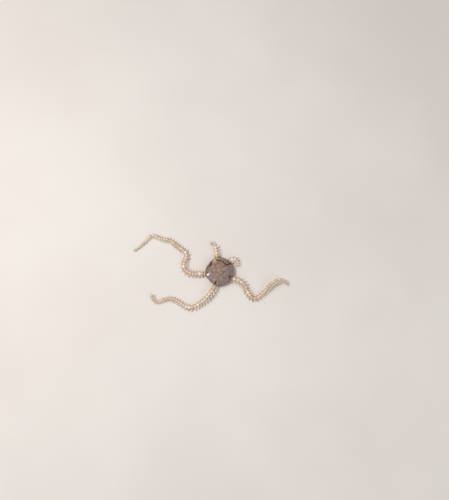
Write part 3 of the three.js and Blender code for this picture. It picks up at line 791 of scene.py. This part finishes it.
def shield_pairs(build):
    """The radial shields, two beside each arm; gives their places and directions."""
    places = []
    for arm in arms:
        for side in (1, -1):
            wide = arm.name == "arm_left" and side > 0
            beside, reach, width, rise = WIDE_SHIELD if wide else SHIELD
            angle = arm.root_angle + side * beside
            q = reach * float(margin(angle))
            place = disc_place(angle, q, vary(SHIELD_LENGTH, 0.06),
                               vary(SHIELD_WIDTH, 0.08) * width, -3 * side, 0.006)
            outline = (SHIELD_OUTLINE * [1, side])[::side]
            plate_patch(build, place, outline, rise, rng.random())
            places.append((*polar(q, angle), angle))
    return places


def free_on_top(x, y, plates, shields):
    """Whether a place on the top is clear of the rosette, the shields and the torn grooves."""
    if any(math.hypot(x - u, y - v) < 0.98 * size for u, v, size in plates):
        return False
    for u, v, angle in shields:
        along, across = seen_along(x - u, y - v, angle)
        if (along / SHIELD_LENGTH) ** 2 + (across / (1.05 * SHIELD_WIDTH)) ** 2 < 0.85:
            return False
    return groove(np.array([x]), np.array([y]))[0] <= GROOVE_BARE


def free_at_side(x, y, angle, over):
    """Whether a place is clear of the arms on the side, and of the mouth's parts underneath."""
    degrees, down = ARM_GAP
    if over > down and min(abs(apart(angle, arm.root_angle)) for arm in arms) < degrees:
        return False
    return over <= WALL_LENGTH or not covered_below(x, y)


def row_radius(q):
    """About the radius that a row of scales has, from the top over the side to the underside."""
    return min(q, 1.5) if q < 1.7 else max(0.75, 1.5 - max(0, q - 2.3))


def scale_rows(build, plates, shields):
    """Overlapping scales in rows, from the rosette round the edge to the parts of the mouth."""
    q = SCALE_START
    row = 0
    while q < SCALE_END:
        count = int(TAU * row_radius(q) / (2 * SCALE_WIDTH * SCALE_PACKING))
        for number in range(count):
            shift = 0.22 * (rng.random() - 0.5) + 0.5 * (row % 2)
            angle = (number + shift) * 360 / count
            at = q + 0.03 * (rng.random() - 0.5)
            size = vary(1.0, 0.16)
            tone = rng.random()
            turn = 10 * (rng.random() - 0.5)
            over = at - DISC_INNER * float(reach_at(angle))
            x, y, _ = disc_surface(angle, at)
            free = free_on_top(x, y, plates, shields) if over < 0 else free_at_side(
                x, y, angle, over)
            if free:
                place = disc_place(angle, at, SCALE_LENGTH * size, SCALE_WIDTH * size, turn,
                                   SCALE_TILT)
                plate_patch(build, place, SCALE_OUTLINE, SCALE_RISE, tone)
        q += SCALE_STEP
        row += 1


disc_skin = Build("disc_skin")
disc_scales = Build("disc_scales")
radial_shields = Build("radial_shields")
mouth_frame = Build("mouth_frame")
disc_body(disc_skin)
rosette_plates = rosette(disc_scales)
scale_rows(disc_scales, rosette_plates, shield_pairs(radial_shields))
for angle in JAW_ANGLES:
    jaw_parts(angle)
for arm in arms:
    ridge_parts(arm.root_angle)


# Materials

def rgb(*values):
    """Linear colour from the usual 0 to 255 values."""
    shares = (value / 255 for value in values)
    return (*(c / 12.92 if c <= 0.04045 else ((c + 0.055) / 1.055) ** 2.4 for c in shares), 1.0)


class Shader:
    """Short calls for the nodes of one material; places are in millimetres."""

    def __init__(self, name):
        self.material = bpy.data.materials.new(name)
        self.material.use_nodes = True
        self.tree = self.material.node_tree
        self.tree.nodes.clear()
        self.bsdf = self.node("BsdfPrincipled", {})
        self.node("OutputMaterial", {"Surface": self.bsdf.outputs[0]})
        place = self.node("TexCoord", {}).outputs["Object"]
        self.place = self.vector("SCALE", {0: place, "Scale": 1 / MM})

    def node(self, kind, inputs, **settings):
        """A new node. Its inputs are values, or the sockets that feed them."""
        node = self.tree.nodes.new("ShaderNode" + kind)
        for name, value in settings.items():
            setattr(node, name, value)
        for name, value in inputs.items():
            self.put(node.inputs[name], value)
        return node

    def put(self, socket, value):
        if isinstance(value, bpy.types.NodeSocket):
            self.tree.links.new(value, socket)
        else:
            socket.default_value = value

    def vector(self, operation, inputs, output=0):
        return self.node("VectorMath", inputs, operation=operation).outputs[output]

    def noise(self, scale, detail=4.0, rough=0.55, place=None, output=0):
        return self.node("TexNoise", {"Vector": place or self.place, "Scale": scale,
                                      "Detail": detail, "Roughness": rough}).outputs[output]

    def cells(self, scale):
        return self.node("TexVoronoi", {"Vector": self.place, "Scale": scale}).outputs["Distance"]

    def ramp(self, value, low, high, start=0.0, end=1.0):
        """From start to end while the value goes from low to high."""
        return self.node("MapRange", {"Value": value, "From Min": low, "From Max": high,
                                      "To Min": start, "To Max": end},
                         interpolation_type="SMOOTHSTEP").outputs[0]

    def maths(self, operation, a, b):
        return self.node("Math", {0: a, 1: b}, operation=operation).outputs[0]

    def attribute(self, name):
        return self.node("Attribute", {}, attribute_name=name).outputs["Fac"]

    def shifted(self, amount, scale):
        """The place, pushed about by noise, so that borders drawn from it are uneven."""
        push = self.noise(scale, 2.0, 0.5, output="Color")
        push = self.vector("SUBTRACT", {0: push, 1: (0.5, 0.5, 0.5)})
        return self.vector("MULTIPLY_ADD", {0: push, 1: (amount,) * 3, 2: self.place})

    def near(self, place, centre, radius, soft, amount=1.0):
        """An amount near a place and 0 beyond a radius, with a soft border."""
        away = self.vector("DISTANCE", {0: place, 1: centre}, "Value")
        return self.ramp(away, radius - soft, radius + soft, amount, 0.0)

    def bump(self, height, distance, under=None):
        """Relief of some millimetres, laid over the relief under it."""
        node = self.node("Bump", {"Distance": distance * MM, "Height": height, "Strength": 1.0})
        if under:
            self.put(node.inputs["Normal"], under)
        return node.outputs[0]

    def mottle(self, value, low, high, dark, light):
        """Starts the base colour, dark where a value is low and light where it is high."""
        self.base = rgb(*dark)
        self.paint(light, self.ramp(value, low, high))

    def paint(self, colour, mask):
        """Lays a colour over the base colour where the mask is above 0."""
        self.base = self.node("Mix", {0: mask, 6: self.base, 7: rgb(*colour)},
                              data_type="RGBA").outputs[2]

    def tint(self, colour, value, low, high, amount):
        """Lays a colour over the base colour, up to an amount as a value goes from low to high."""
        self.paint(colour, self.ramp(value, low, high, 0.0, amount))

    def set(self, **values):
        for name, value in values.items():
            self.put(self.bsdf.inputs[name.replace("_", " ")], value)

    def flesh(self, depth, weight, coat, coat_rough, coat_ior=1.4):
        """Light that sinks in and comes out redder, under a thin wet coat."""
        self.set(Subsurface_Weight=weight, Subsurface_Scale=depth * MM,
                 Subsurface_Radius=(1.0, 0.62, 0.42), IOR=1.45, Coat_Weight=coat,
                 Coat_Roughness=coat_rough, Coat_IOR=coat_ior)

    def finish(self, rough, **relief):
        self.set(Base_Color=self.base, Roughness=rough, **relief)
        return self.material


PALE_PLACES = [(1.9, 1.4, 0.3), (-0.5, 3.0, 0.3)]  # the two short arms are the palest
PALE_RADIUS = 1.2
PALE = (246, 232, 218)
SHADED_BEND_PLACE = (4.1, -3.5, 0.3)  # painted shade on the bend of the arm at the front right
SHADED_BEND_RADIUS = 0.7
SHADED_BEND = (150, 122, 98)
PAINTED_GLINT_WHITE = (254, 248, 238)
# painted highlight: a whitening laid on some arm plates to stand in for glints
FINE_SPECK = (244, 230, 210)


def arm_material(name, light, dark, deep, painted_glint_share=0.65):
    """Cream plates: mottled, some whitened as painted glints, with painted shade at the rim, pitted
    and wet.
    """
    look = Shader(name)
    tone = look.attribute("tone")
    fine = look.noise(26.0, 4.0, 0.6)
    look.mottle(look.noise(5.5, 5.0), 0.35, 0.68, dark, light)
    look.tint(light, tone, 0.0, 1.0, 0.35)
    # painted glints: plates of high tone are whitened as sparkle
    look.tint(PAINTED_GLINT_WHITE, tone, 0.62, 0.9, painted_glint_share)
    # painted shade: plates darken towards their rims, where they sink into the skin
    look.tint(deep, look.attribute("rim"), 0.8, 1.0, 0.4)
    look.tint(FINE_SPECK, fine, 0.55, 0.75, 0.35)
    look.paint(PALE, look.maths("MAXIMUM", *(
        look.near(look.place, place, PALE_RADIUS, 0.4, 0.5) for place in PALE_PLACES)))
    # painted shade darkens the bend of the arm at the front right
    look.paint(SHADED_BEND, look.near(look.place, SHADED_BEND_PLACE, SHADED_BEND_RADIUS, 0.5, 0.45))
    look.tint(deep, look.noise(0.9, 3.0), 0.45, 0.7, 0.35)
    look.flesh(0.12, 0.35, 0.9, 0.12)
    grain = look.bump(look.noise(34.0, 3.0, 0.6), 0.01)
    pits = look.bump(look.ramp(look.cells(34.0), 0.1, 0.5), 0.004, grain)
    return look.finish(look.ramp(fine, 0.3, 0.7, 0.32, 0.55), Normal=pits)


def skin_material():
    """The flesh between the plates of an arm."""
    look = Shader("arm flesh")
    look.mottle(look.noise(6.0, 4.0), 0.35, 0.65, (186, 153, 127), (214, 186, 160))
    look.flesh(0.15, 0.5, 0.4, 0.15)
    return look.finish(0.4, Normal=look.bump(look.noise(40.0, 3.0, 0.6), 0.004))


def spine_material():
    """Glassy spines, whiter to the tip."""
    look = Shader("spine")
    grain = look.noise(30.0, 3.0)
    look.mottle(look.attribute("rim"), 0.0, 0.5, (234, 208, 184), (253, 245, 234))
    look.tint((206, 176, 148), grain, 0.4, 0.7, 0.2)
    look.flesh(0.12, 0.5, 0.9, 0.1)
    return look.finish(0.3, Normal=look.bump(grain, 0.003))


# Patches of colour on the disc: place, radius, soft border, colour and strength
PATCHES = [
    ((-0.2, -0.66, 0.95), 0.62, 0.3, (142, 116, 108), 0.7),
    ((0.1, -1.5, 0.8), 0.5, 0.25, (132, 108, 106), 0.8),
    ((-1.0, -0.9, 0.8), 0.42, 0.25, (130, 110, 106), 0.7),
    ((1.12, -0.08, 0.85), 0.36, 0.16, (116, 110, 124), 0.95),
    ((0.77, -0.4, 0.9), 0.24, 0.14, (126, 120, 110), 0.8),
    ((1.62, -0.4, 0.6), 0.2, 0.12, (168, 140, 124), 0.7),
    ((-1.3, 0.2, 0.75), 0.36, 0.1, (92, 74, 52), 1.0),
    ((-1.12, 0.52, 0.75), 0.24, 0.1, (66, 54, 38), 1.0),
    ((-0.58, 0.07, 0.95), 0.2, 0.12, (182, 126, 84), 0.9),
    ((-0.08, 0.31, 0.95), 0.32, 0.2, (152, 120, 90), 0.8),
    ((0.3, 0.75, 0.9), 0.3, 0.2, (158, 112, 86), 0.6),
    ((0.5, 0.14, 0.95), 0.17, 0.1, (176, 138, 110), 0.9),
    ((0.78, 0.32, 0.95), 0.15, 0.09, (176, 138, 108), 0.9),
    ((-0.5, 1.1, 0.85), 0.27, 0.08, (190, 146, 88), 1.0),
    ((-0.5, 1.2, 0.8), 0.13, 0.06, (228, 200, 168), 1.0),
    ((-0.13, 1.22, 0.8), 0.15, 0.08, (156, 88, 42), 0.95),
    ((0.8, 1.25, 0.8), 0.34, 0.12, (118, 110, 104), 0.95),
    ((1.0, 1.12, 0.8), 0.12, 0.08, (70, 58, 56), 0.9),
    ((0.66, 0.54, 0.9), 0.14, 0.08, (168, 78, 48), 1.0),
    ((0.92, 0.6, 0.85), 0.17, 0.08, (146, 58, 36), 1.0),
    ((1.34, 0.58, 0.8), 0.11, 0.06, (196, 164, 120), 0.95),
    ((-0.76, 0.75, 0.85), 0.08, 0.04, (218, 196, 206), 0.95),
    ((0.54, -1.5, 0.75), 0.07, 0.04, (210, 188, 164), 0.9),
    # painted shade in the notch over the left arm's root
    ((-1.2, -0.22, 0.8), 0.09, 0.06, (64, 48, 42), 0.9),
]
WET_PLACE = (-1.3, -0.45, 0.85)
WET_RADIUS = 0.32
RED_BROWN = (92, 30, 18)
DARK_BROWN = (70, 52, 44)
UNDERSIDE = (178, 152, 130)
UNDER_BALL = ((0, 0, -4), 4.55)  # a big ball whose top takes in the underside and nothing above it
GROOVE_LEVEL = 0.86  # height of the grooves' edges
GROOVE_STAIN = 0.11  # how far the dark red spreads from a groove


def disc_colour(look):
    """Grey-brown with bluish, olive and orange patches, and dark red in the torn grooves."""
    place = look.shifted(0.22, 2.6)
    fine_place = look.shifted(0.1, 7.0)
    look.mottle(look.noise(3.4, 6.0, 0.62), 0.36, 0.66, (108, 86, 76), (162, 134, 117))
    look.tint((132, 112, 116), look.noise(2.0, 3.0, 0.5, place), 0.5, 0.68, 0.5)
    broken = look.ramp(look.noise(5.0, 5.0, 0.65), 0.34, 0.58, 0.4, 1.0)
    for centre, radius, soft, colour, amount in PATCHES:
        patch = look.near(place, centre, radius, soft, amount)
        look.paint(colour, look.maths("MULTIPLY", patch, broken))
    look.paint(UNDERSIDE, look.near(look.place, *UNDER_BALL, 0.12))
    for line in GROOVES:
        for x, y, half, depth in line:
            low = (x, y, GROOVE_LEVEL - depth)
            look.paint(RED_BROWN, look.near(fine_place, low, half + GROOVE_STAIN, 0.08))


def disc_material(name, gloss, coat_rough, coat_ior=1.4, plates=True):
    """The disc's skin or its plates, which differ in tone and are wettest at the left edge."""
    look = Shader(name)
    disc_colour(look)
    look.flesh(0.06, 0.15, gloss, coat_rough, coat_ior)
    if plates:
        tone = look.attribute("tone")
        look.tint((182, 158, 140), tone, 0.3, 1.0, 0.34)
        look.tint((84, 66, 58), tone, 0.4, 0.0, 0.34)
        # painted shade: scales and shields darken towards their rims
        look.tint(DARK_BROWN, look.attribute("rim"), 0.8, 1.0, 0.5)
        wettest = look.near(look.place, WET_PLACE, WET_RADIUS, 0.1)
        look.set(Coat_Weight=look.ramp(wettest, 0, 1, 0.3, gloss))
    speck = look.noise(22.0, 4.0, 0.65)
    look.tint((196, 172, 150), speck, 0.58, 0.76, 0.3)
    look.tint(DARK_BROWN, speck, 0.44, 0.3, 0.4)
    return look.finish(look.ramp(speck, 0.3, 0.7, 0.34, 0.55),
                         Normal=look.bump(look.noise(30.0, 4.0, 0.6), 0.006))


plate_look = arm_material("arm plates", (240, 216, 192), (211, 180, 153), (170, 138, 112))
flank_look = arm_material("flank plates", (242, 220, 198), (216, 187, 161), (174, 144, 118))
mouth_look = arm_material("mouth frame", (216, 192, 166), (184, 156, 130), (128, 100, 80), 0.15)
spine_look = spine_material()

arm_nodes = [f"{spec['name']}_{part}" for spec in ARMS for part in spec["parts"]]
arm_skin.mesh(skin_material(), arm_nodes)
dorsal_plates.mesh(plate_look, arm_nodes)
lateral_plates.mesh(flank_look, arm_nodes)
ventral_plates.mesh(plate_look, arm_nodes)
arm_spines.mesh(spine_look, arm_nodes)
tentacle_scales.mesh(spine_look, arm_nodes)
disc_skin.mesh(disc_material("disc skin", 0.6, 0.14, plates=False), ["disc"])
disc_scales.mesh(disc_material("disc scales", 0.8, 0.14), ["disc"])
radial_shields.mesh(disc_material("radial shields", 1.0, 0.07, 1.6), ["disc"])
mouth_frame.mesh(mouth_look, ["disc"])


# Floor, light and camera

FLOOR_HALF = 600
WORLD = ((0.97, 0.98, 1.0, 1.0), 0.44)
# Lamps that shine at the middle of the disc: place, size, power and colour
LAMPS = {
    "key": ((-52, 22, 92), 70, 0.03, (1.0, 0.98, 0.95)),
    "glint": ((-48, 3, 93), 22, 0.042, (1.0, 0.99, 0.97)),
    "fill": ((70, -60, 80), 70, 0.02, (0.97, 0.98, 1.0)),
}
CAMERA_AIM = (0.6535, 2.6761, 0.0)
CAMERA_DISTANCE = 110
CAMERA_TILT = 13  # degrees from straight above
FOCAL_PIXELS = 916.7  # 110 mm away, 1 mm is 8.33 pixels, as in the photo
IMAGE_LONG_SIDE = 500  # pixels
SENSOR = 36.0


def floor():
    look = Shader("floor")
    look.mottle(look.noise(0.05, 3.0), 0.3, 0.7, (222, 214, 208), (228, 221, 215))
    data = bpy.data.meshes.new("floor")
    corners = [(-1, -1), (1, -1), (1, 1), (-1, 1)]
    data.from_pydata([(x * FLOOR_HALF * MM, y * FLOOR_HALF * MM, 0) for x, y in corners], [],
                     [(0, 1, 2, 3)])
    data.materials.append(look.finish(0.7))
    piece = bpy.data.objects.new("floor", data)
    bpy.context.scene.collection.objects.link(piece)


def aimed(name, data, place, aim):
    """Puts a lamp or the camera in its place, turned to what it is aimed at."""
    piece = bpy.data.objects.new(name, data)
    piece.location = Vector(place) * MM
    piece.rotation_euler = (Vector(aim) - Vector(place)).to_track_quat("-Z", "Y").to_euler()
    bpy.context.scene.collection.objects.link(piece)
    return piece


def lights():
    world = bpy.data.worlds.new("world")
    world.use_nodes = True
    background = world.node_tree.nodes["Background"]
    for socket, value in zip(background.inputs, WORLD):
        socket.default_value = value
    bpy.context.scene.world = world
    bpy.context.scene.view_settings.view_transform = "Standard"
    for name, (place, size, power, colour) in LAMPS.items():
        light = bpy.data.lights.new(name, "AREA")
        light.shape = "DISK"
        light.size = size * MM
        light.energy = power
        light.color = colour
        aimed(name, light, place, (0, 0, 0))


def camera():
    data = bpy.data.cameras.new("camera")
    data.sensor_width = SENSOR
    data.lens = FOCAL_PIXELS * SENSOR / IMAGE_LONG_SIDE
    data.clip_start = 0.001
    data.clip_end = 10
    high, back = polar(CAMERA_DISTANCE, CAMERA_TILT)
    place = Vector(CAMERA_AIM) + Vector((0, -back, high))
    bpy.context.scene.camera = aimed("camera", data, place, CAMERA_AIM)


floor()
lights()
camera()
